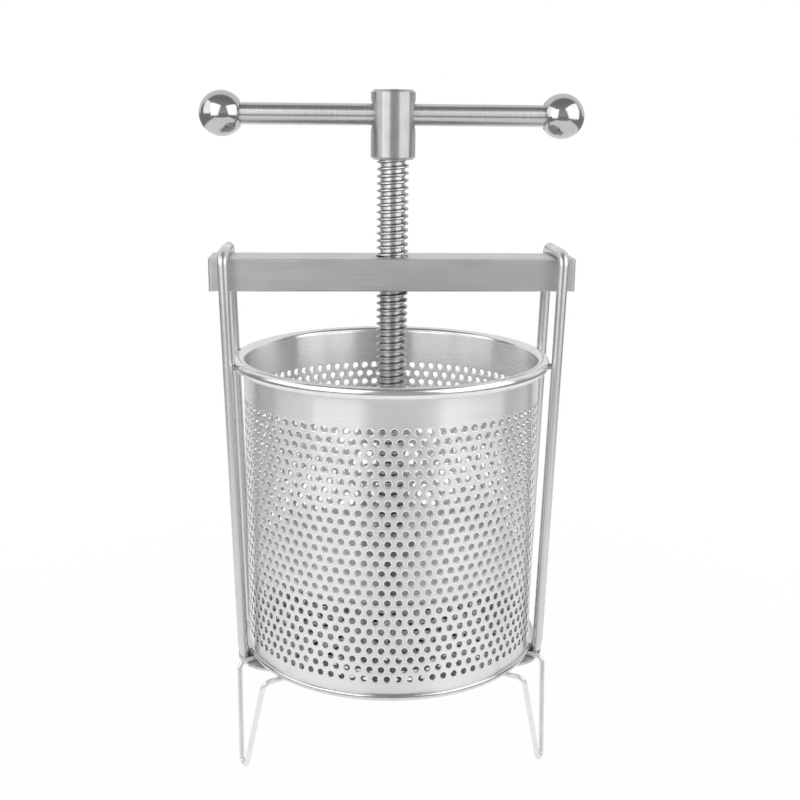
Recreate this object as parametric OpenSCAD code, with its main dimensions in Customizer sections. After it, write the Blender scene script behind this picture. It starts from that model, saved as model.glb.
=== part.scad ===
// Hand screw press that squeezes the water out of chopped vegetables.
// Turning the T-handle drives a round plate down inside a perforated basket.
// Millimetres. +Z is up, X runs along the crossbar, and the origin is on the table under the screw.

/* [Basket] */
// Inside diameter of the basket
basket_inner_d = 170; // [150:1:200]
// Thickness of the basket's sheet
sheet_t = 1; // [0.8:0.1:1.4]
// Height of the basket from the floor's underside to the top of the rim
basket_h = 177.5; // [140:0.5:220]
// Outer diameter of the rolled rim's curl
rim_curl_d = 7; // [6:0.5:8]
// Thickness of the floor disc
floor_t = 1.2; // [1:0.1:2]
// Diameter of the bead that closes the bottom edge
seam_bead_d = 3.8; // [2:0.1:4]

/* [Perforation] */
// Diameter of each drain hole
hole_d = 3.7; // [2.5:0.1:4]
// Largest distance between hole centres round the wall
hole_pitch = 6.3; // [6:0.05:9]
// Height from one row of holes to the next
row_gap = 5.6; // [5:0.1:9]
// Height of the lowest row above the basket's underside
bottom_band = 12.6; // [10:0.1:20]
// Depth of the highest row below the top of the rim
top_band = 24.9; // [18:0.1:40]
// Turn of the rows of holes about the basket's axis
hole_turn = -0.69; // [-3:0.01:3]
// Distance between the rings of holes in the floor
floor_ring_gap = 8; // [7:0.5:14]
// Plain margin round the floor's holes
floor_margin = 10; // [8:0.5:20]

/* [Stand] */
// Height of the basket's underside above the table
stand_h = 59; // [45:1:90]
// Diameter of the foot wire
wire_d = 3; // [2.5:0.1:4]
// Distance between the two runs of a foot
foot_w = 31; // [24:1:40]
// How far a foot's bends stand out past the basket wall
foot_reach = 9; // [6:0.5:16]
// How far a foot's tip leans out past its bends
foot_splay = 6; // [0:0.5:12]
// Bend radius at the top of a foot
foot_bend_r = 5; // [4:0.5:7]
// Bend radius at the tip of a foot
foot_tip_r = 3.7; // [3:0.1:5]
// Distance from the axis at which a foot's runs end
foot_run_start = 42; // [36:1:50]
// Depth of the flat worn on a foot's tip
foot_flat = 0.4; // [0.2:0.1:0.6]
// Width of the base strap
strap_w = 82; // [70:1:110]
// How far the base strap reaches past the basket wall at each end
strap_reach = 6; // [5:0.5:10]
// Corner radius of the base strap
strap_corner_r = 25; // [10:1:32]
// Thickness of the base strap
strap_t = 1.5; // [1.2:0.1:4]
// Clearance of the slots in which the front feet bend down past the strap
slot_gap = 0.3; // [0.2:0.1:0.8]

/* [Bails] */
// Diameter of the bail rod
rod_d = 6; // [5:0.1:7]
// Distance between the two legs of a bail
leg_gap = 48; // [46:0.5:56]
// Lean of the bails, outwards going up
bail_lean = 1.5; // [1:0.1:3]
// Bend radius of a bail's shoulders
shoulder_r = 6; // [5:0.5:9]
// Height of the toe, where a leg turns in to the strap
toe_h = 9; // [8:0.5:14]
// Inward step of the toe
toe_in = 1.7; // [1:0.1:2.5]
// Bend radius at the top of the toe
toe_bend_r = 12; // [8:1:20]
// Width of the weld round a leg's end
weld_w = 1.2; // [0.8:0.1:1.5]
// Distance from the strap's end to the middle of a leg
leg_inset = 5; // [4.5:0.1:7]

/* [Crossbar] */
// Length of the crossbar
bar_len = 207; // [205:1:240]
// Depth of the crossbar, front to back
bar_depth = 32; // [32:0.5:38]
// Height of the crossbar
bar_h = 18.3; // [15:0.1:25]
// Height of the crossbar's underside above the rim
bar_rise = 38.4; // [30:0.1:70]
// Wall of the crossbar's tube
bar_wall = 2; // [1.5:0.1:3]
// Radius of the crossbar's long edges
bar_edge_r = 0.8; // [0.4:0.1:1.2]
// Thickness of each end cap
cap_t = 2.5; // [2:0.1:4]
// Radius of the upright edges at the crossbar's ends
cap_corner_r = 2; // [1:0.1:2]
// Diameter of the threaded nut inside the crossbar
nut_d = 26; // [24:0.5:27]

/* [Screw] */
// Outside diameter of the screw's thread
screw_d = 18; // [16:0.5:20]
// Threaded length from the hub to the plate's boss
screw_len = 218; // [216:1:260]
// Diameter of the screw's journal in the boss
journal_d = 12; // [10:0.5:14]
// Length of the journal
journal_len = 11; // [9:0.5:12]
// Diameter of the spigot in the hub
spigot_d = 14; // [12:0.5:15]
// Length of the spigot
spigot_len = 12; // [8:0.5:14]
// Radial clearance of the turning fits
running_gap = 0.08; // [0.03:0.01:0.1]
// Clearance where the screw passes through the crossbar's walls
pass_gap = 0.4; // [0.3:0.1:1]
// End clearance of the journal
thrust_gap = 0.1; // [0.05:0.05:0.3]

/* [Handle] */
// Diameter of the hub
hub_d = 25; // [22:0.5:32]
// Height of the hub
hub_h = 38; // [36:0.5:50]
// Chamfer of the hub's edges
hub_chamfer = 1.5; // [0.5:0.1:2.5]
// Diameter of the handle bar
handle_d = 12; // [10:0.5:14]
// Height of the handle bar above the hub's underside
handle_rise = 24.5; // [22:0.5:26]
// Countersink of the hub's cross hole
cross_sink = 0.8; // [0.3:0.1:1.2]
// Diameter of the balls
ball_d = 25; // [20:0.5:32]
// Distance between the balls' centres
ball_span = 190; // [140:1:240]
// Diameter of the flat on each ball
ball_flat_d = 15; // [13:0.5:16]
// Diameter of the stud in each ball
stud_d = 8; // [6:0.5:9]
// Length of the stud
stud_len = 10; // [8:0.5:12]

/* [Press plate] */
// Gap between the plate's edge and the basket wall
plate_edge_gap = 2.5; // [1:0.1:5]
// Thickness of the plate
plate_t = 3; // [2:0.1:5]
// Chamfer of the plate's edges
plate_chamfer = 0.5; // [0.2:0.1:0.8]
// Height of the plate above the basket's floor
plate_lift = 52; // [20:1:60]
// Diameter of the plate's boss
boss_d = 34; // [30:1:44]
// Height of the boss
boss_h = 14; // [13:0.5:20]
// Chamfer of the boss's top edge
boss_chamfer = 1.5; // [0.5:0.1:2.5]
// Diameter of the pins that hold the screw in the boss
pin_d = 4; // [3:0.5:4]
// Clearance of the pins in the journal's groove
pin_gap = 0.3; // [0.2:0.05:0.4]
// Depth of the journal's groove
groove_depth = 1.8; // [1.2:0.1:2.2]

/* [Hidden] */
$fn = 64;
// Sides of a bent rod, and the largest angle between the rings round its bends
rod_sides = 16;
bend_step = 13;
hole_fn = 16;
// Turn of each wall drill about its own axis
drill_turn = 45;
// Cutting tools run this far past the faces that they cut.
over = 1;

// Heights, from the table up
floor_z = stand_h;
floor_top = floor_z + floor_t;
run_z = floor_z - wire_d / 2;
strap_top = floor_z - wire_d;
rim_top = floor_z + basket_h;
curl_z = rim_top - rim_curl_d / 2;
bar_z = rim_top + bar_rise;
bar_top = bar_z + bar_h;
arch_z = bar_top + rod_d / 2;
plate_z = floor_top + plate_lift;
boss_z = plate_z + plate_t;
boss_top = boss_z + boss_h;
hub_z = boss_top + thrust_gap + screw_len;
handle_z = hub_z + handle_rise;
groove_z = boss_top - journal_len / 2;

// Distances from the axis
inner_r = basket_inner_d / 2;
outer_r = inner_r + sheet_t;
curl_r = inner_r + rim_curl_d / 2;
strap_x = outer_r + strap_reach;
bend_x = outer_r + foot_reach;
leg_y = leg_gap / 2;
foot_end_x = strap_x - leg_inset;
knee_x = foot_end_x + toe_in;
knee_z = strap_top + toe_h;
arch_x = knee_x + (arch_z - knee_z) * tan(bail_lean);
ball_x = ball_span / 2;
flat_x = ball_x - sqrt(pow(ball_d, 2) - pow(ball_flat_d, 2)) / 2;

// Angles of the three feet about the axis
front_left_angle = 210;
front_right_angle = 330;
rear_angle = 90;

// Holes of the basket, as many as fit the wall and the floor
holes_per_row = floor(PI * 2 * outer_r / hole_pitch);
row_count = floor((basket_h - bottom_band - top_band) / row_gap + 0.01) + 1;
first_row_z = floor_z + bottom_band;
last_row_z = first_row_z + (row_count - 1) * row_gap;
floor_rings = floor((inner_r - floor_margin) / floor_ring_gap);
facet = 360 / holes_per_row;
// The drilled zone is a many-sided prism, set in from the round bands above and below it.
outer_inset = 0.1;
inner_inset = 0.03;
// How far that prism runs on inside the round bands
band_lap = 1.5;

// Unit vector along v
function unit(v) = v / norm(v);
// Angle that a path turns through at its point i
function turn(p, i) = acos(unit(p[i] - p[i - 1]) * unit(p[i + 1] - p[i]));
// Points round the bend of radius r at point i of the path p
function bend_points(p, r, i) = let (
  along = unit(p[i] - p[i - 1]),
  out = unit(p[i + 1] - p[i]),
  inward = unit(out - along * (along * out)),
  angle = turn(p, i),
  centre = p[i] - along * r * tan(angle / 2) + inward * r,
  steps = max(2, ceil(angle / bend_step))
) [for (k = [0 : steps]) centre + r * (along * sin(angle * k / steps) - inward * cos(angle * k / steps))];
// Path p with each inner corner rounded to its radius in the list r
function rounded_path(p, r) = concat(
  [p[0]], [for (i = [1 : len(p) - 2]) each bend_points(p, r[i - 1], i)], [p[len(p) - 1]]
);
// Direction of the path q at each of its points
function directions(q) = [for (i = [0 : len(q) - 1]) unit(q[min(i + 1, len(q) - 1)] - q[max(i - 1, 0)])];
// Part of v that is square to the direction t
function squared(v, t) = unit(v - t * (v * t));
// One sideways vector for each direction in t, carried along the path without twisting
function sideways(t, first) = [
  for (i = 0, v = squared(first, t[0]); i < len(t); i = i + 1, v = i < len(t) ? squared(v, t[i]) : v) v
];
// Corners of a regular prism with one side square to each hole of the lowest row
function facet_ring(r) = [for (i = [0 : holes_per_row - 1]) r * [cos((i + 0.5) * facet), sin((i + 0.5) * facet)]];

// Round rod bent along the path p, with one bend radius in the list r for each inner point.
// The section starts with a corner towards first.
module bent_rod(p, r, d, first) {
  q = rounded_path(p, r);
  t = directions(q);
  v = sideways(t, first);
  n = rod_sides;
  points = [
    for (i = [0 : len(q) - 1], j = [0 : n - 1])
      q[i] + (v[i] * cos(j * 360 / n) + cross(t[i], v[i]) * sin(j * 360 / n)) * d / 2
  ];
  sides = [
    for (i = [0 : len(q) - 2], j = [0 : n - 1], half = [0, 1])
      let (k = (j + 1) % n)
        half == 0 ? [i * n + j, (i + 1) * n + j, i * n + k] : [i * n + k, (i + 1) * n + j, (i + 1) * n + k]
  ];
  ends = [[for (j = [0 : n - 1]) j], [for (j = [0 : n - 1]) len(points) - 1 - j]];
  polyhedron(points, concat(sides, ends));
}

// Round bar from point a to point b
module rod_between(a, b, d) {
  v = b - a;
  translate(a)
    rotate([0, acos(v.z / norm(v)), atan2(v.y, v.x)])
      cylinder(h = norm(v), d = d);
}

// Rectangle with round corners, centred
module rounded_rect(w, h, r) {
  square([w - 2 * r, h], center = true);
  square([w, h - 2 * r], center = true);
  for (x = [-1, 1], y = [-1, 1])
    translate([x * (w / 2 - r), y * (h / 2 - r)])
      circle(r = r);
}

// Section of the rolled rim: the sheet curls outwards and stops just short of the wall.
module rim_section() {
  translate([curl_r, curl_z])
    difference() {
      circle(d = rim_curl_d);
      circle(d = rim_curl_d - 2 * sheet_t);
      polygon([[0, 0], [-rim_curl_d, 0], [-rim_curl_d, -rim_curl_d * tan(60)]]);
    }
}

// Perforated wall, drilled in staggered rows between a plain band below and one under the rim
module basket_wall() {
  low = first_row_z - row_gap / 2;
  high = last_row_z + row_gap / 2;
  color("silver") {
    rotate_extrude($fn = 128) {
      translate([inner_r, floor_top])
        square([sheet_t, low - floor_top]);
      translate([inner_r, high])
        square([sheet_t, curl_z - high]);
      rim_section();
    }
    rotate(hole_turn)
      difference() {
        translate([0, 0, low - band_lap])
          linear_extrude(high - low + 2 * band_lap)
            difference() {
              polygon(facet_ring(outer_r - outer_inset));
              polygon(facet_ring((inner_r + inner_inset) / cos(facet / 2)));
            }
        for (row = [0 : row_count - 1], i = [0 : holes_per_row - 1])
          rotate([0, 90, (i + (row % 2) / 2) * facet])
            translate([-first_row_z - row * row_gap, 0, inner_r - over])
              rotate(drill_turn)
                cylinder(d = hole_d, h = sheet_t + 2 * over, $fn = hole_fn);
      }
  }
}

// Floor disc with rings of drain holes and a bead turned up round the wall
module basket_floor() {
  color("lightgray")
    difference() {
      rotate_extrude($fn = 128)
        difference() {
          union() {
            translate([0, floor_z])
              square([outer_r, floor_t]);
            translate([outer_r, floor_z + seam_bead_d / 2])
              circle(d = seam_bead_d, $fn = hole_fn);
          }
          translate([0, floor_top])
            square([outer_r, seam_bead_d]);
        }
      for (ring = [0 : floor_rings], i = [0 : max(6 * ring - 1, 0)])
        rotate([0, 0, i * 60 / max(ring, 1)])
          translate([ring * floor_ring_gap, 0, floor_z - over])
            cylinder(d = hole_d, h = floor_t + 2 * over, $fn = hole_fn);
    }
}

// Outline of the base strap, slotted at the edge where a wire bends down past it
module strap_outline() {
  difference() {
    rounded_rect(2 * strap_x, strap_w, strap_corner_r);
    for (foot_side = [[front_left_angle, -1], [front_right_angle, 1]])
      rotate(foot_side[0])
        translate([bend_x - foot_bend_r + wire_d / 2, foot_side[1] * foot_w / 2]) {
          circle(d = wire_d + 2 * slot_gap);
          translate([0, -wire_d / 2 - slot_gap])
            square([strap_corner_r, wire_d + 2 * slot_gap]);
        }
  }
}

// Flat strap under the feet's wires, whose ends carry the bails
module base_strap() {
  color("gainsboro")
    translate([0, 0, strap_top - strap_t])
      linear_extrude(strap_t)
        strap_outline();
}

// Wire foot: two runs under the floor, bent down into a V that stands on its tip
module foot(angle) {
  half = foot_w / 2;
  tip_z = wire_d / 2 - foot_flat + foot_tip_r;
  drop = run_z - tip_z;
  lean = acos(foot_tip_r / norm([half, drop])) - atan2(drop, half);
  corner_z = tip_z - foot_tip_r / sin(lean);
  corner_x = bend_x + foot_splay * (run_z - corner_z) / (run_z - tip_z + foot_tip_r);
  path = [
    [foot_run_start, half, run_z], [bend_x, half, run_z], [corner_x, 0, corner_z],
    [bend_x, -half, run_z], [foot_run_start, -half, run_z]
  ];
  color("whitesmoke")
    rotate([0, 0, angle])
      difference() {
        bent_rod(path, [foot_bend_r, foot_tip_r, foot_bend_r], wire_d, [0, 0, 1]);
        translate([bend_x - foot_w, -foot_w, -foot_w])
          cube([2 * foot_w, 2 * foot_w, foot_w]);
      }
}

module front_left_foot() foot(front_left_angle);

module front_right_foot() foot(front_right_angle);

module rear_foot() foot(rear_angle);

// Path of the bail on one side, from the strap over the crossbar and down again
function bail_path(side) = let (
  toe = [side * (foot_end_x - toe_in * over / toe_h), leg_y, strap_top - over],
  knee = [side * knee_x, leg_y, knee_z],
  shoulder = [side * arch_x, leg_y, arch_z],
  back = [1, -1, 1]
) [
  toe, knee, shoulder, [for (i = [0 : 2]) shoulder[i] * back[i]],
  [for (i = [0 : 2]) knee[i] * back[i]], [for (i = [0 : 2]) toe[i] * back[i]]
];

// Bent rod of one bail
module bail_rod(side) {
  bent_rod(bail_path(side), [toe_bend_r, shoulder_r, shoulder_r, toe_bend_r], rod_d, [1, 0, 0]);
}

// Bail: an upside-down U of polished rod, its ends cut flat on the strap
module bail(side) {
  color("whitesmoke")
    difference() {
      bail_rod(side);
      translate([side * foot_end_x - toe_h, -leg_gap, strap_top - toe_h])
        cube([2 * toe_h, 2 * leg_gap, toe_h]);
    }
}

module left_bail() bail(-1);

module right_bail() bail(1);

// Tack welds that bridge the gap between the bails' legs and the rolled rim
module rim_welds() {
  leg_x = knee_x + (curl_z - knee_z) * tan(bail_lean);
  leg_r = norm([leg_x, leg_y]);
  rim_r = curl_r + rim_curl_d / 2;
  gap = leg_r - rod_d / 2 - rim_r;
  weld_at = (rim_r + gap / 2) / leg_r;
  color("white")
    for (side = [-1, 1], front = [-1, 1])
      difference() {
        translate([side * leg_x * weld_at, front * leg_y * weld_at, curl_z])
          rotate([0, 90, atan2(front * leg_y, side * leg_x)])
            sphere(d = gap + 2 * weld_w);
        rotate(-90)
          rotate_extrude($fn = 128)
            translate([curl_r, curl_z])
              rotate(180)
                circle(d = rim_curl_d);
        rod_between([side * knee_x, front * leg_y, knee_z], [side * arch_x, front * leg_y, arch_z], rod_d);
      }
}

// Weld fillets round the ends of the bails' legs, dressed flush with the strap's edge
module strap_welds() {
  weld_h = weld_w * 1.5;
  color("white")
    for (side = [-1, 1], front = [-1, 1])
      difference() {
        intersection() {
          translate([side * foot_end_x, front * leg_y, strap_top])
            cylinder(h = weld_h, d1 = rod_d + 2 * weld_w, d2 = rod_d + weld_w / 2);
          translate([0, 0, strap_top])
            linear_extrude(weld_h)
              strap_outline();
        }
        rod_between(
          [side * (foot_end_x - toe_in * over / toe_h), front * leg_y, strap_top - over],
          [side * knee_x, front * leg_y, knee_z], rod_d
        );
      }
}

// Crossbar: a flat tube that hangs under the bails' arches, pierced for the screw
module crossbar() {
  color("silver")
    difference() {
      crossbar_section(bar_len - 2 * cap_t);
      translate([0, 0, bar_z + bar_h / 2])
        cube([bar_len, bar_depth - 2 * bar_wall, bar_h - 2 * bar_wall], center = true);
      translate([0, 0, bar_z - over])
        cylinder(h = bar_h + 2 * over, d = screw_d + 2 * pass_gap);
    }
}

// Solid outline of the crossbar's tube, of the given length
module crossbar_section(length) {
  translate([-length / 2, 0, bar_z + bar_h / 2])
    rotate([90, 0, 90])
      linear_extrude(length)
        rounded_rect(bar_depth, bar_h, bar_edge_r);
}

// Cap welded into one end of the crossbar, with its upright edges rounded
module end_cap(side) {
  color("silver")
    intersection() {
      crossbar_section(bar_len);
      translate([0, 0, bar_z - over])
        linear_extrude(bar_h + 2 * over)
          rounded_rect(bar_len, bar_depth, cap_corner_r);
      translate([side * (bar_len - cap_t) / 2, 0, bar_z + bar_h / 2])
        cube([cap_t, bar_depth + 2 * over, bar_h + 2 * over], center = true);
    }
}

module left_end_cap() end_cap(-1);

module right_end_cap() end_cap(1);

// Threaded nut held between the crossbar's upper and lower walls
module crossbar_nut() {
  color("goldenrod")
    translate([0, 0, bar_z + bar_wall])
      difference() {
        cylinder(h = bar_h - 2 * bar_wall, d = nut_d);
        translate([0, 0, -over])
          cylinder(h = bar_h, d = screw_d + 2 * running_gap);
      }
}

// Press screw: spigot, thread at its outside diameter, and a grooved journal that turns in the boss
module press_screw() {
  thread_z = boss_top + thrust_gap;
  end_z = boss_top - journal_len + thrust_gap;
  groove_r = journal_d / 2 - groove_depth;
  groove_half = pin_d / 2 + pin_gap;
  run_out = (screw_d - journal_d) / 4;
  color("lightgray")
    rotate_extrude()
      polygon([
        [0, end_z], [journal_d / 2, end_z], [journal_d / 2, groove_z - groove_half],
        [groove_r, groove_z - groove_half], [groove_r, groove_z + groove_half],
        [journal_d / 2, groove_z + groove_half], [journal_d / 2, thread_z],
        [screw_d / 2 - run_out, thread_z], [screw_d / 2, thread_z + run_out],
        [screw_d / 2, hub_z], [spigot_d / 2, hub_z], [spigot_d / 2, hub_z + spigot_len], [0, hub_z + spigot_len]
      ]);
}

// Hub on top of the screw, cross-drilled for the handle bar
module screw_hub() {
  color("lightgray")
    difference() {
      translate([0, 0, hub_z])
        rotate_extrude()
          polygon([
            [0, 0], [hub_d / 2 - hub_chamfer, 0], [hub_d / 2, hub_chamfer], [hub_d / 2, hub_h - hub_chamfer],
            [hub_d / 2 - hub_chamfer, hub_h], [0, hub_h]
          ]);
      translate([0, 0, hub_z - over])
        cylinder(h = spigot_len + over, d = spigot_d);
      translate([-hub_d, 0, handle_z])
        rotate([0, 90, 0])
          cylinder(h = 2 * hub_d, d = handle_d);
      for (side = [-1, 1])
        translate([side * hub_d / 2, 0, handle_z])
          rotate([0, -90 * side, 0])
            translate([0, 0, -over])
              cylinder(h = over + cross_sink + hub_d / 2 - sqrt(pow(hub_d, 2) - pow(handle_d, 2)) / 2,
                d1 = handle_d + 2 * (over + cross_sink + hub_d / 2) - sqrt(pow(hub_d, 2) - pow(handle_d, 2)),
                d2 = handle_d);
    }
}

// Handle bar, turned down to a stud at each end
module handle_bar() {
  color("silver")
    translate([0, 0, handle_z])
      rotate([0, 90, 0])
        rotate_extrude()
          polygon([
            [0, -flat_x - stud_len], [stud_d / 2, -flat_x - stud_len], [stud_d / 2, -flat_x], [handle_d / 2, -flat_x],
            [handle_d / 2, flat_x], [stud_d / 2, flat_x], [stud_d / 2, flat_x + stud_len], [0, flat_x + stud_len]
          ]);
}

// Polished ball with a flat against the bar's shoulder
module ball(side) {
  color("whitesmoke")
    translate([side * ball_x, 0, handle_z])
      rotate([0, -90 * side, 0])
        difference() {
          sphere(d = ball_d);
          translate([0, 0, ball_x - flat_x + ball_d / 2])
            cube(ball_d, center = true);
          translate([0, 0, ball_x - flat_x - stud_len])
            cylinder(h = stud_len + over, d = stud_d);
        }
}

module left_ball() ball(-1);

module right_ball() ball(1);

// Press plate, a loose fit in the basket
module press_plate() {
  plate_r = inner_r - plate_edge_gap;
  color("lightgray")
    translate([0, 0, plate_z])
      rotate_extrude($fn = 128)
        polygon([
          [0, 0], [plate_r - plate_chamfer, 0], [plate_r, plate_chamfer], [plate_r, plate_t - plate_chamfer],
          [plate_r - plate_chamfer, plate_t], [0, plate_t]
        ]);
}

// Boss on the plate, a socket in which the screw's journal turns
module plate_boss() {
  color("lightgray")
    difference() {
      translate([0, 0, boss_z])
        rotate_extrude()
          polygon([
            [0, 0], [boss_d / 2, 0], [boss_d / 2, boss_h - boss_chamfer], [boss_d / 2 - boss_chamfer, boss_h],
            [0, boss_h]
          ]);
      translate([0, 0, boss_top - journal_len])
        cylinder(h = journal_len + over, d = journal_d + 2 * running_gap);
      translate([-boss_d, 0, groove_z])
        rotate([0, 90, 0])
          cylinder(h = 2 * boss_d, d = pin_d);
    }
}

// Pins through the boss whose tips ride in the journal's groove
module swivel_pins() {
  tip_r = journal_d / 2 - groove_depth + pin_gap;
  color("dimgray")
    for (side = [-1, 1])
      translate([side * tip_r, 0, groove_z])
        rotate([0, 90 * side, 0])
          cylinder(h = boss_d / 2 - tip_r - pin_gap, d = pin_d);
}

basket_wall();
basket_floor();
base_strap();
front_left_foot();
front_right_foot();
rear_foot();
left_bail();
right_bail();
rim_welds();
strap_welds();
crossbar();
left_end_cap();
right_end_cap();
crossbar_nut();
press_screw();
screw_hub();
handle_bar();
left_ball();
right_ball();
press_plate();
plate_boss();
swivel_pins();
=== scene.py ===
# %% [markdown]
# # Dressing a hand screw press
#
# The press squeezes the water out of chopped vegetables: a T-handle turns a screw, and the screw drives
# a plate down inside a perforated basket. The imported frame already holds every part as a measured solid,
# in metres, so nothing here needs fitting by eye. This lesson keeps the solids that look right, gives
# each of them a real metal finish, and models again only the parts whose look needs a finer mesh.

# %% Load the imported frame
import math

import bmesh
import bpy
from mathutils import Matrix, Vector


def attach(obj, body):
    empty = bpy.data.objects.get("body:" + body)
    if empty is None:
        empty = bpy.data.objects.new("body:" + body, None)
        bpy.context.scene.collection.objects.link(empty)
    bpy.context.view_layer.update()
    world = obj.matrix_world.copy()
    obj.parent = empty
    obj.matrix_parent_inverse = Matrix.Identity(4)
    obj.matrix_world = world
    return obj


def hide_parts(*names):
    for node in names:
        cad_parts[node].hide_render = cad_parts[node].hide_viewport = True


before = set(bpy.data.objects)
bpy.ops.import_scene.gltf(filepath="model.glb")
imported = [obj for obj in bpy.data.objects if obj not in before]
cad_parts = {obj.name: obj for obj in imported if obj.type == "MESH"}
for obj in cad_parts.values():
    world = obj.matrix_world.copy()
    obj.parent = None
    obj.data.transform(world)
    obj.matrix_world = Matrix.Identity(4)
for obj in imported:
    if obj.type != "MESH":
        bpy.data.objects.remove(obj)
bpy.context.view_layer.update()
MM = 0.001

# %% [markdown]
# ## The camera
#
# The photograph fixes the view: a normal lens close to the press, about level with its handle bar and
# looking down by 14 degrees. A tracking constraint would be the quick way to aim it. The turn, tilt and
# roll are written out instead, because they come from fitting a camera to points on the basket and the
# screw.

# %% Camera
LENS_MM, SENSOR_MM = 51.09, 36
CAMERA_AT_MM = (-34.6, -651.6, 369.1)
TURN, TILT, ROLL = math.radians(-3.5), math.radians(90 - 13.865), math.radians(0.543)
camera_data = bpy.data.cameras.new("portrait_lens")
camera_data.sensor_width = SENSOR_MM
camera_data.lens = LENS_MM
camera = bpy.data.objects.new("portrait_camera", camera_data)
camera.matrix_world = (
    Matrix.Translation(Vector(CAMERA_AT_MM) * MM)
    @ Matrix.Rotation(TURN, 4, "Z")
    @ Matrix.Rotation(TILT, 4, "X")
    @ Matrix.Rotation(ROLL, 4, "Z")
)
bpy.context.scene.collection.objects.link(camera)
bpy.context.scene.camera = camera
bpy.context.scene.view_settings.view_transform = "Standard"
print("camera at", [round(c, 3) for c in camera.location])

# %% [markdown]
# ## Three small helpers
#
# Every finish below is a graph of shader nodes. One function adds a node, sets what it is told and links
# its inputs, so a finish reads as a short list. Another turns an sRGB hex colour into the linear values
# that shaders expect. The third starts a material with no nodes in it.


# %% Helpers for colours and nodes
def linear(hex_colour):
    """An sRGB hex colour as linear red, green, blue and alpha."""
    channels = [int(hex_colour[i : i + 2], 16) / 255 for i in (1, 3, 5)]
    return [c / 12.92 if c <= 0.04045 else ((c + 0.055) / 1.055) ** 2.4 for c in channels] + [1.0]


def add(tree, kind, sockets=None, **settings):
    """One node with its settings. Each socket gets a plain value, or a link from another node's output."""
    node = tree.nodes.new(kind)
    for name, value in settings.items():
        setattr(node, name, value)
    for name, value in (sockets or {}).items():
        if isinstance(value, bpy.types.NodeSocket):
            tree.links.new(value, node.inputs[name])
        else:
            node.inputs[name].default_value = value
    return node


def empty_material(name):
    """A new material with an empty node tree."""
    material = bpy.data.materials.new(name)
    material.use_nodes = True
    material.node_tree.nodes.clear()
    return material


print("helpers ready; mid grey is", [round(c, 3) for c in linear("#808080")[:3]])

# %% [markdown]
# ## Brushed stainless steel
#
# Brushing leaves fine parallel scratches, so the metal keeps its colour but smears reflections across the
# grain. An image of scratches could be tiled over it. Noise stretched along the grain needs no image and
# no seam, and Object coordinates give it a real size: the grain is about 0.3 mm wide on most parts, and
# 1.2 to 1.5 mm on the strap and the rods. Both are coarser than the real scratches, so that the grain
# still shows in a picture of the whole press. Broad, faint clouds stand for handling marks. Where the
# grain runs round a part, as on the basket, the handle bar and the ground rods, the shader's anisotropy
# draws reflections out into long lines along the part.


# %% Finish: brushed stainless steel
SMEAR, QUARTER_TURN = 1.0, 0.25
CLOUD_MM = 35
# Nearly all values of the grain lie between the first two, and of grain times cloud between the others.
GRAIN_LOW, GRAIN_HIGH, TINT_LOW, TINT_HIGH = 0.25, 0.75, 0.1, 0.42


def brushed_stainless(name, colour, shade, grain_mm, rough, spread, groove_mm, around=None, metal=1.0):
    """Brushed steel between two colours. grain_mm is the grain's size along X, Y and Z.
    Where the grain runs round an axis, around names it, and reflections smear along that axis.
    A metal value under 1 stands for the dull skin of sheet that was never polished."""
    material = empty_material(name)
    tree = material.node_tree
    place = add(tree, "ShaderNodeTexCoord").outputs["Object"]
    along = add(
        tree, "ShaderNodeMapping", {"Vector": place, "Scale": [1 / (size * MM) for size in grain_mm]}
    ).outputs["Vector"]
    grain = add(
        tree, "ShaderNodeTexNoise", {"Vector": along, "Scale": 1.0, "Detail": 3.0, "Roughness": 0.6}
    ).outputs["Fac"]
    cloud = add(
        tree, "ShaderNodeTexNoise", {"Vector": place, "Scale": 1 / (CLOUD_MM * MM), "Detail": 2.0}
    ).outputs["Fac"]
    mixed = add(tree, "ShaderNodeMath", {0: grain, 1: cloud}, operation="MULTIPLY").outputs[0]
    tint = add(
        tree, "ShaderNodeMapRange", {"Value": mixed, "From Min": TINT_LOW, "From Max": TINT_HIGH}
    ).outputs["Result"]
    steel = add(
        tree, "ShaderNodeMix", {0: tint, 6: linear(shade), 7: linear(colour)}, data_type="RGBA"
    ).outputs[2]
    roughness = add(
        tree,
        "ShaderNodeMapRange",
        {
            "Value": grain,
            "From Min": GRAIN_LOW,
            "From Max": GRAIN_HIGH,
            "To Min": rough - spread,
            "To Max": rough + spread,
        },
    ).outputs["Result"]
    grooves = add(
        tree, "ShaderNodeBump", {"Height": grain, "Strength": 0.35, "Distance": groove_mm * MM}
    ).outputs["Normal"]
    surface = {"Base Color": steel, "Metallic": metal, "Roughness": roughness, "Normal": grooves}
    if around:
        grain_way = add(tree, "ShaderNodeTangent", direction_type="RADIAL", axis=around)
        surface["Tangent"] = grain_way.outputs["Tangent"]
        surface["Anisotropic"] = SMEAR
        surface["Anisotropic Rotation"] = QUARTER_TURN
    shader = add(tree, "ShaderNodeBsdfPrincipled", surface)
    add(tree, "ShaderNodeOutputMaterial", {"Surface": shader.outputs["BSDF"]})
    return material


# %% The brushed parts
# Stainless sheet brushed round the basket: pale, with tall soft bands of light.
basket_steel = brushed_stainless(
    "brushed_basket_sheet", "#F4F4F4", "#EAEAEB", (30, 30, 0.35), 0.3, 0.05, 0.003, "Z"
)
# Stainless tube brushed lengthways on a belt: an even, matt grey with fine lines along it.
bar_steel = brushed_stainless(
    "brushed_crossbar_tube", "#DCDCDC", "#C8C8C9", (25, 0.35, 0.35), 0.45, 0.07, 0.03
)
# Stainless bar spun against a belt: rings round it, and bright lines all along it.
handle_steel = brushed_stainless(
    "brushed_handle_bar", "#D4D4D4", "#C2C2C2", (0.3, 9, 9), 0.3, 0.05, 0.006, "X"
)
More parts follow.
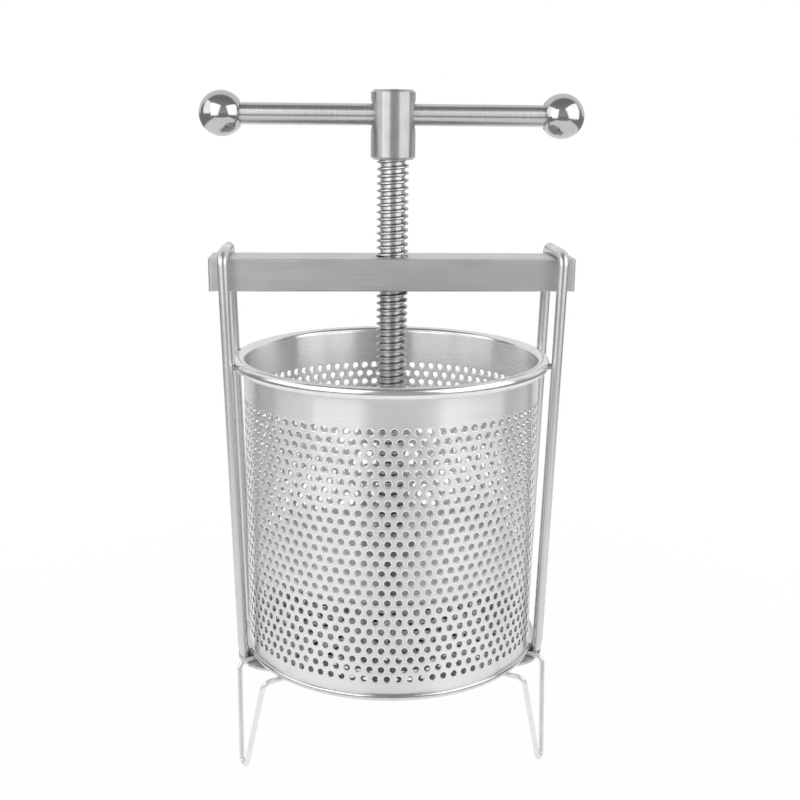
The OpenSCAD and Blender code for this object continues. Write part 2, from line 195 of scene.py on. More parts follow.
# Stainless sheet as the mill rolls it, never polished: a dull, pale grey with no clear reflection.
sheet_steel = brushed_stainless(
    "satin_base_sheet", "#E6E6E6", "#D6D6D7", (20, 1.2, 1.2), 0.5, 0.05, 0.01, metal=0.45
)
# Stainless rod ground between rollers: smooth, with light and dark lines running down it.
rod_steel = brushed_stainless(
    "ground_bail_rod", "#E0E0E0", "#D9D9D9", (6, 6, 1.5), 0.24, 0.01, 0.0003, "Z"
)
for finish in (basket_steel, bar_steel, handle_steel, sheet_steel, rod_steel):
    print("brushed finish:", finish.name)

# %% [markdown]
# ## Turned stainless steel
#
# A lathe tool leaves fine rings: round the side of a hub or a screw, and round the middle of a flat face.
# Two finishes could be made, one for sides and one for faces. One is enough when the pattern is read from
# two distances only, how far a point is from the axis and how high it stands. Real rings are about 0.1 mm
# apart, and these are drawn coarser so that they show. On a screw the sides of its teeth, which the finish
# finds by their radius, also get a darker colour: painted shade for the shadowed grooves of the thread.


# %% Finish: turned stainless steel
# Painted shade: a darker colour laid on the flanks of a screw's teeth, between crest and root.
PAINTED_FLANK_SHADE = "#9A9997"
# Where the painted flank shade starts and is full, as shares of the way from a flank's middle to its edges.
FLANK_SHADE_STARTS, FLANK_SHADE_FULL = 0.98, 0.85
MARK_MM, CUT_DEPTH_MM = 9, 0.01
# Nearly all values of a noise lie between these two.
NOISE_LOW, NOISE_HIGH = 0.3, 0.7


def turned_stainless(name, colour, shade, ring_mm, rough, spread, flank_shade_mm=None):
    """Steel turned on a lathe about the Z axis, with rings about ring_mm apart.
    Between the two radii of flank_shade_mm, where there are any, painted shade darkens it."""
    material = empty_material(name)
    tree = material.node_tree
    place = add(tree, "ShaderNodeTexCoord").outputs["Object"]
    parts = add(tree, "ShaderNodeSeparateXYZ", {"Vector": place})
    flat = add(tree, "ShaderNodeCombineXYZ", {"X": parts.outputs["X"], "Y": parts.outputs["Y"]})
    radius = add(
        tree, "ShaderNodeVectorMath", {0: flat.outputs["Vector"]}, operation="LENGTH"
    ).outputs["Value"]
    lathe = add(tree, "ShaderNodeCombineXYZ", {"X": radius, "Z": parts.outputs["Z"]}).outputs["Vector"]
    rings = add(
        tree,
        "ShaderNodeTexNoise",
        {"Vector": lathe, "Scale": 1 / (ring_mm * MM), "Detail": 2.0, "Roughness": 0.55},
    ).outputs["Fac"]
    marks = add(
        tree, "ShaderNodeTexNoise", {"Vector": place, "Scale": 1 / (MARK_MM * MM), "Detail": 3.0}
    ).outputs["Fac"]
    tint = add(
        tree, "ShaderNodeMapRange", {"Value": marks, "From Min": NOISE_LOW, "From Max": NOISE_HIGH}
    ).outputs["Result"]
    steel = add(
        tree, "ShaderNodeMix", {0: tint, 6: linear(shade), 7: linear(colour)}, data_type="RGBA"
    ).outputs[2]
    # Painted shade: halfway between the two radii the colour turns darker.
    if flank_shade_mm:
        low, high = [size * MM for size in flank_shade_mm]
        across = add(
            tree,
            "ShaderNodeMapRange",
            {"Value": radius, "From Min": low, "From Max": high, "To Min": -1.0},
        ).outputs["Result"]
        edge = add(tree, "ShaderNodeMath", {0: across}, operation="ABSOLUTE").outputs[0]
        flank_shade = add(
            tree,
            "ShaderNodeMapRange",
            {"Value": edge, "From Min": FLANK_SHADE_STARTS, "From Max": FLANK_SHADE_FULL},
        ).outputs["Result"]
        steel = add(
            tree, "ShaderNodeMix", {0: flank_shade, 6: steel, 7: linear(PAINTED_FLANK_SHADE)}, data_type="RGBA"
        ).outputs[2]
    roughness = add(
        tree,
        "ShaderNodeMapRange",
        {
            "Value": rings,
            "From Min": NOISE_LOW,
            "From Max": NOISE_HIGH,
            "To Min": rough - spread,
            "To Max": rough + spread,
        },
    ).outputs["Result"]
    cut = add(
        tree, "ShaderNodeBump", {"Height": rings, "Strength": 0.3, "Distance": CUT_DEPTH_MM * MM}
    ).outputs["Normal"]
    ring_way = add(tree, "ShaderNodeTangent", direction_type="RADIAL", axis="Z").outputs["Tangent"]
    shader = add(
        tree,
        "ShaderNodeBsdfPrincipled",
        {
            "Base Color": steel,
            "Metallic": 1.0,
            "Roughness": roughness,
            "Normal": cut,
            "Anisotropic": SMEAR,
            "Anisotropic Rotation": QUARTER_TURN,
            "Tangent": ring_way,
        },
    )
    add(tree, "ShaderNodeOutputMaterial", {"Surface": shader.outputs["BSDF"]})
    return material


# %% The turned parts
# Turned stainless hub: satin grey, with broad upright bands of light and dark.
hub_steel = turned_stainless("turned_hub", "#D2D2D1", "#C4C4C3", 0.4, 0.36, 0.05)
# Faced stainless plate: rings round its middle, and a soft sheen that fans out from there.
plate_steel = turned_stainless("turned_plate", "#D0D0D0", "#BABABA", 0.8, 0.3, 0.06)
# Turned bronze: a warm yellow, though only a thin ring shows, round the screw in the crossbar's hole.
nut_bronze = turned_stainless("turned_bronze_nut", "#C79A5B", "#A87E45", 0.5, 0.3, 0.06)
# Plain steel pin, cut and left as it is: darker and duller than the stainless parts.
pin_steel = turned_stainless("plain_pin_steel", "#8E8E90", "#76767A", 0.5, 0.35, 0.06)
# Stainless thread cut on a lathe: bright crests and roots, and painted shade on the flanks between them.
thread_steel = turned_stainless("turned_thread", "#ECECEB", "#DEDEDC", 0.4, 0.28, 0.05, (7, 9))
for finish in (hub_steel, plate_steel, nut_bronze, pin_steel, thread_steel):
    print("turned finish:", finish.name)

# %% [markdown]
# ## Polished stainless steel
#
# The balls, the basket's rim, the wire of the feet and the floor sheet are polished. A perfect mirror
# looks drawn, because real polish keeps faint smears and a slight waviness. Both come from soft noise:
# one changes the roughness a little, the other tilts the surface by a few microns over some millimetres.
# The welds take the same finish with short, deep waves, which makes them lumpy.


# %% Finish: polished stainless steel
SMUDGE_MM = 6


def polished_stainless(name, colour, shade, rough, spread, wave_mm, wave_depth_mm):
    """Polished steel with faint smears, and waves about wave_mm long."""
    material = empty_material(name)
    tree = material.node_tree
    place = add(tree, "ShaderNodeTexCoord").outputs["Object"]
    smear = add(
        tree, "ShaderNodeTexNoise", {"Vector": place, "Scale": 1 / (SMUDGE_MM * MM), "Detail": 4.0}
    ).outputs["Fac"]
    wave = add(
        tree, "ShaderNodeTexNoise", {"Vector": place, "Scale": 1 / (wave_mm * MM), "Detail": 1.0}
    ).outputs["Fac"]
    tint = add(
        tree, "ShaderNodeMapRange", {"Value": smear, "From Min": NOISE_LOW, "From Max": NOISE_HIGH}
    ).outputs["Result"]
    steel = add(
        tree, "ShaderNodeMix", {0: tint, 6: linear(shade), 7: linear(colour)}, data_type="RGBA"
    ).outputs[2]
    roughness = add(
        tree,
        "ShaderNodeMapRange",
        {
            "Value": smear,
            "From Min": NOISE_LOW,
            "From Max": NOISE_HIGH,
            "To Min": rough - spread,
            "To Max": rough + spread,
        },
    ).outputs["Result"]
    waves = add(
        tree, "ShaderNodeBump", {"Height": wave, "Strength": 0.2, "Distance": wave_depth_mm * MM}
    ).outputs["Normal"]
    shader = add(
        tree,
        "ShaderNodeBsdfPrincipled",
        {"Base Color": steel, "Metallic": 1.0, "Roughness": roughness, "Normal": waves},
    )
    add(tree, "ShaderNodeOutputMaterial", {"Surface": shader.outputs["BSDF"]})
    return material


# %% The polished parts
# Stainless ball polished on a wheel: a clear, dark-edged picture of the room.
ball_steel = polished_stainless("polished_ball", "#C6C6C6", "#BEBEBE", 0.12, 0.03, 8, 0.01)
# Rolled and polished rim: a bright line of light round the top of the basket.
rim_steel = polished_stainless("polished_rim", "#EEEEEE", "#E4E4E4", 0.2, 0.05, 5, 0.02)
# Drawn and tumbled wire: pale and soft, with hardly any clear reflection.
wire_steel = polished_stainless("polished_foot_wire", "#F4F4F4", "#E8E8E8", 0.38, 0.05, 4, 0.02)
# Weld metal brushed clean: lumpy, greyer and uneven in gloss.
weld_steel = polished_stainless("cleaned_weld", "#C6C6C4", "#9C9B99", 0.3, 0.1, 0.8, 0.25)
# Bright-rolled floor sheet with a polished bead: sharp light and dark lines along the bead.
floor_steel = polished_stainless("polished_floor_sheet", "#DCDCDC", "#D0D0D0", 0.14, 0.04, 6, 0.01)
for finish in (ball_steel, rim_steel, wire_steel, weld_steel, floor_steel):
    print("polished finish:", finish.name)

# %% [markdown]
# ## Turning a bmesh into a piece
#
# Each new part starts as a bmesh whose faces already point outwards. To become a piece it needs smooth
# shading that stops at its sharp edges, a finish, a body to move with and the solid that it stands for.
# One function does that for all of them.


# %% Helper that finishes a piece
SHARP_ANGLE = math.radians(35)


def finish_piece(name, shape, material, body, node):
    """Makes a bmesh into an object at the origin that rides on a body and stands for a CAD node."""
    mesh = bpy.data.meshes.new(name)
    shape.to_mesh(mesh)
    shape.free()
    mesh.materials.append(material)
    mesh.shade_smooth()
    mesh.set_sharp_from_angle(angle=SHARP_ANGLE)
    piece = bpy.data.objects.new(name, mesh)
    bpy.context.scene.collection.objects.link(piece)
    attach(piece, body)
    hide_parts(node)
    print(name, len(mesh.polygons), "faces")
    return piece


print("edges over", round(math.degrees(SHARP_ANGLE)), "degrees stay sharp")

# %% [markdown]
# ## The perforated basket wall
#
# The wall is one sheet: staggered rows of punched holes between two plain bands, with the top rolled out
# into a rim. Cutting two thousand holes with booleans would be slow and would leave ragged shading. It is
# quicker to model one cell, a hole in a small rectangle, repeat it into a flat sheet, bend the sheet
# round and extrude its edges into the bands and the rim. The top and bottom of a cell have four equal
# steps each, so a row that is shifted by half a cell still meets its neighbours point to point.

# %% One cell of the wall, with its hole
HOLES_PER_ROW, ROWS = 85, 26
HOLE_D, ROW_GAP = 3.7 * MM, 5.6 * MM
WALL_R, SHEET_T = 86 * MM, 1 * MM
FIRST_ROW_Z = 71.6 * MM
HOLE_TURN = math.radians(-0.69)
HOLE_SIDES = 12
cell_w = 2 * math.pi * WALL_R / HOLES_PER_ROW
# A polygon a little larger than the circle has the round hole's area.
area_share = HOLE_SIDES / (2 * math.pi) * math.sin(2 * math.pi / HOLE_SIDES)
hole_r = HOLE_D / 2 / math.sqrt(area_share)

wall = bmesh.new()
bmesh.ops.create_circle(wall, segments=HOLE_SIDES, radius=hole_r, cap_ends=False)
border = bmesh.ops.extrude_edge_only(wall, edges=wall.edges[:])["geom"]
# Points at the left and right move out to the cell's sides, and the others to its top and bottom.
for corner in [g for g in border if isinstance(g, bmesh.types.BMVert)]:
    across, up = corner.co.x / hole_r, corner.co.y / hole_r
    across = math.copysign(1, across) if abs(across) > 0.6 else round(across, 3)
    up = math.copysign(1, up) if abs(up) > 0.4 else 0
    corner.co = Vector((across * cell_w / 2, up * ROW_GAP / 2, 0))
print("cell:", len(wall.verts), "points,", round(cell_w / MM, 2), "mm wide")

# %% Repeat the cell into a flat sheet
cell = wall.verts[:] + wall.edges[:] + wall.faces[:]
for i in range(1, HOLES_PER_ROW):
    copy = bmesh.ops.duplicate(wall, geom=cell)["geom"]
    copied = [g for g in copy if isinstance(g, bmesh.types.BMVert)]
    bmesh.ops.translate(wall, verts=copied, vec=(i * cell_w, 0, 0))
row = wall.verts[:] + wall.edges[:] + wall.faces[:]
for k in range(1, ROWS):
    copy = bmesh.ops.duplicate(wall, geom=row)["geom"]
    copied = [g for g in copy if isinstance(g, bmesh.types.BMVert)]
    bmesh.ops.translate(wall, verts=copied, vec=(k % 2 * cell_w / 2, k * ROW_GAP, 0))
print("sheet:", len(wall.faces), "faces")

# %% Bend the sheet round and weld its cells
for point in wall.verts:
    angle = point.co.x / WALL_R + HOLE_TURN
    point.co = Vector((WALL_R * math.cos(angle), WALL_R * math.sin(angle), FIRST_ROW_Z + point.co.y))
bmesh.ops.remove_doubles(wall, verts=wall.verts[:], dist=0.02 * MM)
print("bent:", len(wall.verts), "points")

# %% [markdown]
# The bands and the rim grow out of the sheet's top and bottom edges. Each step extrudes the open edge and
# moves the new ring. The rim turns about a circle, seen in section, until its edge is back near the wall.

# %% Plain bands and the rolled rim
LOW_Z, HIGH_Z = FIRST_ROW_Z - ROW_GAP / 2, FIRST_ROW_Z + (ROWS - 0.5) * ROW_GAP
FLOOR_TOP, CURL_Z = 60.2 * MM, 233 * MM
CURL_R, CURL_CENTRE = 2.5 * MM, 88.5 * MM
CURL_STEPS, CURL_TURN = 18, math.radians(300)


def open_edge(shape, height):
    """The open edges of a shape at one height."""
    return [
        e
        for e in shape.edges
        if e.is_boundary and all(abs(v.co.z - height) < 0.1 * MM for v in e.verts)
    ]


def grow(shape, edges, radius, height):
    """Extrudes a ring of edges to another radius and height, and returns the new ring."""
    new = bmesh.ops.extrude_edge_only(shape, edges=edges)["geom"]
    for point in [g for g in new if isinstance(g, bmesh.types.BMVert)]:
        flat = Vector((point.co.x, point.co.y, 0)).normalized() * radius
        point.co = Vector((flat.x, flat.y, height))
    return [g for g in new if isinstance(g, bmesh.types.BMEdge)]


grow(wall, open_edge(wall, LOW_Z), WALL_R, FLOOR_TOP)
ring = grow(wall, open_edge(wall, HIGH_Z), WALL_R, CURL_Z)
for k in range(1, CURL_STEPS + 1):
    angle = math.pi - CURL_TURN * k / CURL_STEPS
    ring = grow(wall, ring, CURL_CENTRE + CURL_R * math.cos(angle), CURL_Z + CURL_R * math.sin(angle))
bmesh.ops.recalc_face_normals(wall, faces=wall.faces[:])
print("wall:", len(wall.faces), "faces before it gets its thickness")

# %% [markdown]
# The sheet gets its thickness last. Its faces have to point outwards first, so that the solid wall grows
# inwards and keeps the measured outside. The rim is polished and the wall is brushed, so the piece has two
# finishes, and a face takes the second one where it lies above the start of the curl.

# %% Thickness of the sheet, and the rim's own finish
outwards = 0
for face in wall.faces:
    middle = face.calc_center_median()
    outwards += face.normal.x * middle.x + face.normal.y * middle.y
if outwards < 0:
    bmesh.ops.reverse_faces(wall, faces=wall.faces[:])
bmesh.ops.solidify(wall, geom=wall.faces[:], thickness=SHEET_T)
reach = [math.hypot(v.co.x, v.co.y) / MM for v in wall.verts]
print("wall radii in mm", round(min(reach), 2), "to", round(max(reach), 2))
basket = finish_piece(
    "basket_wall_sheet", wall, basket_steel, "frame", "basket_wall"
)
basket.data.materials.append(rim_steel)
for face in basket.data.polygons:
    face.material_index = int(face.center.z > CURL_Z - CURL_R)

# %% [markdown]
# A punch drags the sheet down a little as it goes through, so every hole has a rolled edge about half a
# millimetre wide that it burnishes, and that catches the light. Bevelling two thousand holes would make
# the mesh too heavy. The finish can draw the edge instead, because the rows are regular: it works out how
# far a point is from the middle of its nearest hole and lets the surface sink towards it.

# %% How far a point is from its nearest hole
tree = basket_steel.node_tree
shader = tree.nodes["Principled BSDF"]
place = add(tree, "ShaderNodeTexCoord").outputs["Object"]
spot = add(tree, "ShaderNodeSeparateXYZ", {"Vector": place}).outputs
angle = add(tree, "ShaderNodeMath", {0: spot["Y"], 1: spot["X"]}, operation="ARCTAN2").outputs[0]
holes_a_radian = HOLES_PER_ROW / (2 * math.pi)
along = add(
    tree,
    "ShaderNodeMath",
    {0: angle, 1: holes_a_radian, 2: -HOLE_TURN * holes_a_radian},
    operation="MULTIPLY_ADD",
).outputs[0]
up = add(
    tree,
    "ShaderNodeMath",
    {0: spot["Z"], 1: 1 / ROW_GAP, 2: -FIRST_ROW_Z / ROW_GAP},
    operation="MULTIPLY_ADD",
).outputs[0]
nearest = add(tree, "ShaderNodeMath", {0: up}, operation="ROUND").outputs[0]
row = add(tree, "ShaderNodeClamp", {"Value": nearest, "Min": 0, "Max": ROWS - 1}).outputs[0]
# Each row is half a cell further along than the one below it.
shifted = add(
    tree, "ShaderNodeMath", {0: row, 1: -0.5, 2: along}, operation="MULTIPLY_ADD"
).outputs[0]
column = add(tree, "ShaderNodeMath", {0: shifted}, operation="ROUND").outputs[0]
side = add(tree, "ShaderNodeMath", {0: shifted, 1: column}, operation="SUBTRACT").outputs[0]
rise = add(tree, "ShaderNodeMath", {0: up, 1: row}, operation="SUBTRACT").outputs[0]
offset = add(tree, "ShaderNodeCombineXYZ", {"X": side, "Y": rise}).outputs["Vector"]
offset = add(
    tree, "ShaderNodeVectorMath", {0: offset, 1: (cell_w, ROW_GAP, 0)}, operation="MULTIPLY"
).outputs["Vector"]
reach = add(tree, "ShaderNodeVectorMath", {0: offset}, operation="LENGTH").outputs["Value"]
print("hole pattern:", round(holes_a_radian, 2), "holes a radian in", ROWS, "rows")

# %% Rolled and burnished edges of the holes
EDGE_W, EDGE_DROP, BURNISH = 0.6 * MM, 0.14 * MM, 0.4
sunk = add(
    tree,
    "ShaderNodeMapRange",
    {"Value": reach, "From Min": hole_r, "From Max": hole_r + EDGE_W},
    interpolation_type="SMOOTHSTEP",
).outputs["Result"]
grain = shader.inputs["Normal"].links[0].from_socket
rolled = add(
    tree, "ShaderNodeBump", {"Height": sunk, "Strength": 1.0, "Distance": EDGE_DROP, "Normal": grain}
).outputs["Normal"]
tree.links.new(rolled, shader.inputs["Normal"])
burnished = add(tree, "ShaderNodeMapRange", {"Value": sunk, "To Min": BURNISH}).outputs["Result"]
brushed = shader.inputs["Roughness"].links[0].from_socket
smoother = add(tree, "ShaderNodeMath", {0: brushed, 1: burnished}, operation="MULTIPLY").outputs[0]
tree.links.new(smoother, shader.inputs["Roughness"])
print("rolled edges", round(EDGE_W / MM, 2), "mm wide round", HOLES_PER_ROW * ROWS, "holes")

# %% [markdown]
# ## The bails
#
# Each bail is an upside-down U of 6 mm rod. Its legs lean out by a degree and a half and turn in a little
# at the toes, where they are welded to the strap. A curve with a round bevel would give a tube at once,
# but its bends would only be near to arcs. Here a ring of edges is pushed along the straight runs and
# spun round each bend, the way a rod is bent over a former, so every bend has its true radius.


# %% Helper that bends a rod
ROD_SIDES, DEGREES_A_STEP = 24, 6


def bent_rod(path, bend_radii, diameter):
    """A round rod along a path of points, with one bend radius for each inner point."""
    rod = bmesh.new()
    heading = (path[1] - path[0]).normalized()
    place = Matrix.Translation(path[0]) @ heading.to_track_quat("Z", "Y").to_matrix().to_4x4()
    bmesh.ops.create_circle(rod, segments=ROD_SIDES, radius=diameter / 2, matrix=place, cap_ends=True)
    ring = rod.edges[:]
    at = path[0]
    for corner, after, radius in zip(path[1:-1], path[2:], bend_radii):
        turned = (after - corner).normalized()
        bend = heading.angle(turned)
        bend_start = corner - heading * radius * math.tan(bend / 2)
        ring = push(rod, ring, bend_start - at)
        axis = heading.cross(turned).normalized()
        spun = bmesh.ops.spin(
            rod,
            geom=ring,
            cent=bend_start + axis.cross(heading) * radius,
            axis=axis,
            angle=bend,
            steps=max(3, round(math.degrees(bend) / DEGREES_A_STEP)),
        )["geom_last"]
        ring = [g for g in spun if isinstance(g, bmesh.types.BMEdge)]
        at = corner + turned * radius * math.tan(bend / 2)
        heading = turned
    ring = push(rod, ring, path[-1] - at)
    bmesh.ops.edgeloop_fill(rod, edges=ring)
    return rod


def push(shape, ring, step):
    """Extrudes a ring of edges by a straight step, and returns the new ring."""
    new = bmesh.ops.extrude_edge_only(shape, edges=ring)["geom"]
    bmesh.ops.translate(shape, verts=[g for g in new if isinstance(g, bmesh.types.BMVert)], vec=step)
    return [g for g in new if isinstance(g, bmesh.types.BMEdge)]


def cut_flat(shape, height):
    """Cuts away what is below a height, and closes the cut."""
    everything = shape.verts[:] + shape.edges[:] + shape.faces[:]
    bmesh.ops.bisect_plane(
        shape, geom=everything, plane_co=(0, 0, height), plane_no=(0, 0, 1), clear_inner=True
    )
    bmesh.ops.holes_fill(shape, edges=[e for e in shape.edges if e.is_boundary])
    bmesh.ops.recalc_face_normals(shape, faces=shape.faces[:])


print("rods have", ROD_SIDES, "sides")

# %% The two bails
ROD_D, LEG_Y = 6, 24
STRAP_TOP, TOE_X, KNEE_X, KNEE_Z, ARCH_Z = 56, 87, 88.7, 65, 296.2
LEAN = math.tan(math.radians(1.5))
TOE_BEND, SHOULDER_BEND = 12 * MM, 6 * MM

# The toes run 1 mm past the strap's top, where they are cut flat.
arch_x = KNEE_X + (ARCH_Z - KNEE_Z) * LEAN
toe_x = TOE_X - (KNEE_X - TOE_X) / (KNEE_Z - STRAP_TOP)
half = [(toe_x, STRAP_TOP - 1), (KNEE_X, KNEE_Z), (arch_x, ARCH_Z)]
for side, name in ((-1, "left_bail"), (1, "right_bail")):
    front = [Vector((side * x, -LEG_Y, z)) * MM for x, z in half]
    back = [Vector((side * x, LEG_Y, z)) * MM for x, z in reversed(half)]
    bail = bent_rod(front + back, [TOE_BEND, SHOULDER_BEND, SHOULDER_BEND, TOE_BEND], ROD_D * MM)
    cut_flat(bail, STRAP_TOP * MM)
    finish_piece(name + "_rod", bail, rod_steel, "frame", name)

# %% [markdown]
# ## The feet
#
# Each foot is one length of 3 mm wire: two runs under the floor, bent down and brought together in a V
# that stands on its rounded tip. The same helper bends it. All three follow one path, and each is turned
# about the press's axis to its own place, a third of a turn from the next.

# %% The three feet
WIRE_D, RUN_Z, RUN_START, RUN_Y = 3, 57.5, 42, 15.5
BEND_X, FOOT_BEND, TIP_BEND, SPLAY, TIP_FLAT = 95, 5, 3.7, 6, 0.4

# The sides of the V just touch the round at its tip, which sets their slope.
tip_z = WIRE_D / 2 - TIP_FLAT + TIP_BEND
drop = RUN_Z - tip_z
slope = math.acos(TIP_BEND / math.hypot(RUN_Y, drop)) - math.atan2(drop, RUN_Y)
corner_z = tip_z - TIP_BEND / math.sin(slope)
corner_x = BEND_X + SPLAY * (RUN_Z - corner_z) / (drop + TIP_BEND)
foot_path = [
    Vector(point) * MM
    for point in (
        (RUN_START, RUN_Y, RUN_Z),
        (BEND_X, RUN_Y, RUN_Z),
        (corner_x, 0, corner_z),
        (BEND_X, -RUN_Y, RUN_Z),
        (RUN_START, -RUN_Y, RUN_Z),
    )
]
for name, angle in (("front_left_foot", 210), ("front_right_foot", 330), ("rear_foot", 90)):
    foot = bent_rod(foot_path, [FOOT_BEND * MM, TIP_BEND * MM, FOOT_BEND * MM], WIRE_D * MM)
    cut_flat(foot, 0)
    turn = Matrix.Rotation(math.radians(angle), 3, "Z")
    bmesh.ops.rotate(foot, verts=foot.verts[:], cent=(0, 0, 0), matrix=turn)
    finish_piece(name + "_wire", foot, wire_steel, "frame", name)

# %% [markdown]
# ## The press screw
#
# The screw has a right-hand trapezoidal thread, 18 mm across with a 4 mm pitch. A thread can be faked with
# a bump, but its outline would stay straight. Spinning one tooth's profile while it climbs one pitch a
# turn gives the real helix. The thread starts and ends a little outside its length and is cut square
# there, and the plain journal and spigot are turned separately.

# %% Threaded length of the screw
PITCH, CREST_R, CHAMFER_R, ROOT_R = 4, 9, 8.82, 7
THREAD_LOW, THREAD_HIGH = 129.3, 347.3
STEPS_PER_TURN = 36
# Radius and height of each corner of one tooth, from root to root.
tooth = [
    (ROOT_R, 0),
    (ROOT_R, 1.5),
    (CHAMFER_R, 2.17),
    (CREST_R, 2.29),
    (CREST_R, 3.07),
    (CHAMFER_R, 3.19),
    (ROOT_R, 3.86),
    (ROOT_R, PITCH),
]
turns = math.ceil((THREAD_HIGH - THREAD_LOW) / PITCH) + 2

screw = bmesh.new()
points = [screw.verts.new(Vector((r, 0, THREAD_LOW - 2 * PITCH + z)) * MM) for r, z in tooth]
profile = [screw.edges.new(pair) for pair in zip(points, points[1:])]
bmesh.ops.spin(
    screw,
    geom=points + profile,
    cent=(0, 0, 0),
    axis=(0, 0, 1),
    dvec=(0, 0, PITCH * MM / STEPS_PER_TURN),
    angle=2 * math.pi * turns,
    steps=turns * STEPS_PER_TURN,
)
bmesh.ops.remove_doubles(screw, verts=screw.verts[:], dist=0.01 * MM)
for height, above in ((THREAD_LOW, False), (THREAD_HIGH, True)):
    everything = screw.verts[:] + screw.edges[:] + screw.faces[:]
    bmesh.ops.bisect_plane(
        screw,
        geom=everything,
        plane_co=(0, 0, height * MM),
        plane_no=(0, 0, 1),
        clear_inner=not above,
        clear_outer=above,
    )
    cut = [e for e in screw.edges if e.is_boundary and abs(e.verts[0].co.z - height * MM) < 0.01 * MM]
    bmesh.ops.holes_fill(screw, edges=cut)
print("thread:", len(screw.faces), "faces over", turns, "turns")

# %% Journal and spigot
JOURNAL_R, GROOVE_R, SPIGOT_R = 6, 4.2, 7
JOURNAL_LOW, GROOVE_LOW, GROOVE_HIGH, SPIGOT_HIGH = 118.3, 121.4, 126.0, 359.3
SIDES = 48
journal = [
    (0, JOURNAL_LOW),
    (JOURNAL_R, JOURNAL_LOW),
    (JOURNAL_R, GROOVE_LOW),
    (GROOVE_R, GROOVE_LOW),
    (GROOVE_R, GROOVE_HIGH),
    (JOURNAL_R, GROOVE_HIGH),
    (JOURNAL_R, THREAD_LOW),
    (0, THREAD_LOW),
]
spigot = [(0, THREAD_HIGH), (SPIGOT_R, THREAD_HIGH), (SPIGOT_R, SPIGOT_HIGH), (0, SPIGOT_HIGH)]
for outline in (journal, spigot):
    points = [screw.verts.new(Vector((r, 0, z)) * MM) for r, z in outline]
    profile = [screw.edges.new(pair) for pair in zip(points, points[1:])]
    bmesh.ops.spin(
        screw,
        geom=points + profile,
        cent=(0, 0, 0),
        axis=(0, 0, 1),
        angle=2 * math.pi,
        steps=SIDES,
        use_merge=True,
    )
bmesh.ops.remove_doubles(screw, verts=screw.verts[:], dist=0.001 * MM)
bmesh.ops.recalc_face_normals(screw, faces=screw.faces[:])
finish_piece("press_screw_thread", screw, thread_steel, "screw", "press_screw")

# %% [markdown]
# ## Finishes for the solids that stay
#
# The hub, the bars, the balls, the plate and the strap already have their true form and smooth normals in
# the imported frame. Modelling them again would add nothing, so they only get their finishes.

# %% Finishes of the carried-over parts
finishes = {
    "basket_floor": floor_steel,
    "base_strap": sheet_steel,
    "rim_welds": weld_steel,
    "strap_welds": weld_steel,
    "crossbar": bar_steel,
    "left_end_cap": bar_steel,
    "right_end_cap": bar_steel,
    "crossbar_nut": nut_bronze,
    "screw_hub": hub_steel,
    "handle_bar": handle_steel,
    "left_ball": ball_steel,
    "right_ball": ball_steel,
    "press_plate": plate_steel,
    "plate_boss": plate_steel,
    "swivel_pins": pin_steel,
}
for name, finish in finishes.items():
    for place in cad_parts[name].material_slots:
        place.material = finish
print("finished", len(finishes), "carried-over parts")

# %% [markdown]
# ## The studio
#
# Polished steel has no look of its own: it shows the room. A plain white world would leave the press flat
# and grey. So reflections see a strip of white paper behind the press, dim sides, a dimmer ceiling and a
# dark studio floor beyond the paper. The camera itself sees plain white behind everything, and that white
# comes from Light Path and not from more light on the steel.

# %% World
DIM_ROOM, DIM_SIDES, DIM_CEILING, DARK_FLOOR, BACKDROP = 0.48, 0.24, 0.26, 0.28, 0.86
PAPER_MIDDLE, PAPER_INNER, PAPER_OUTER = 0.06, 0.82, 0.92
PAPER_STARTS, PAPER_FULL = 0.17, 0.3
FRONT_Y, SIDE_Y, HORIZON = -0.6, 0.1, 0.05
world = bpy.data.worlds.new("white_sweep")
bpy.context.scene.world = world
world.use_nodes = True
tree = world.node_tree
tree.nodes.clear()
toward = add(tree, "ShaderNodeTexCoord").outputs["Generated"]
way = add(tree, "ShaderNodeSeparateXYZ", {"Vector": toward}).outputs
behind = add(
    tree, "ShaderNodeMapRange", {"Value": way["Y"], "From Min": PAPER_STARTS, "From Max": PAPER_FULL}
).outputs["Result"]
aside = add(tree, "ShaderNodeMath", {0: way["X"], 1: PAPER_MIDDLE}, operation="SUBTRACT").outputs[0]
aside = add(tree, "ShaderNodeMath", {0: aside}, operation="ABSOLUTE").outputs[0]
within = add(
    tree, "ShaderNodeMapRange", {"Value": aside, "From Min": PAPER_OUTER, "From Max": PAPER_INNER}
).outputs["Result"]
above = add(
    tree, "ShaderNodeMapRange", {"Value": way["Z"], "From Min": -HORIZON, "From Max": HORIZON}
).outputs["Result"]
paper = add(tree, "ShaderNodeMath", {0: behind, 1: above}, operation="MULTIPLY").outputs[0]
paper = add(tree, "ShaderNodeMath", {0: paper, 1: within}, operation="MULTIPLY").outputs[0]
sides = add(
    tree,
    "ShaderNodeMapRange",
    {"Value": way["Y"], "From Min": FRONT_Y, "From Max": SIDE_Y, "To Min": DIM_ROOM, "To Max": DIM_SIDES},
).outputs["Result"]
ceiling = add(
    tree, "ShaderNodeMapRange", {"Value": way["Z"], "To Min": sides, "To Max": DIM_CEILING}
).outputs["Result"]
room = add(tree, "ShaderNodeMix", {0: above, 2: DARK_FLOOR, 3: ceiling}, data_type="FLOAT").outputs[0]
sweep = add(tree, "ShaderNodeMix", {0: paper, 2: room, 3: BACKDROP}, data_type="FLOAT").outputs[0]
seen = add(tree, "ShaderNodeLightPath").outputs["Is Camera Ray"]
strength = add(tree, "ShaderNodeMix", {0: seen, 2: sweep, 3: 1.0}, data_type="FLOAT").outputs[0]
background = add(tree, "ShaderNodeBackground", {"Color": linear("#FFFFFF"), "Strength": strength})
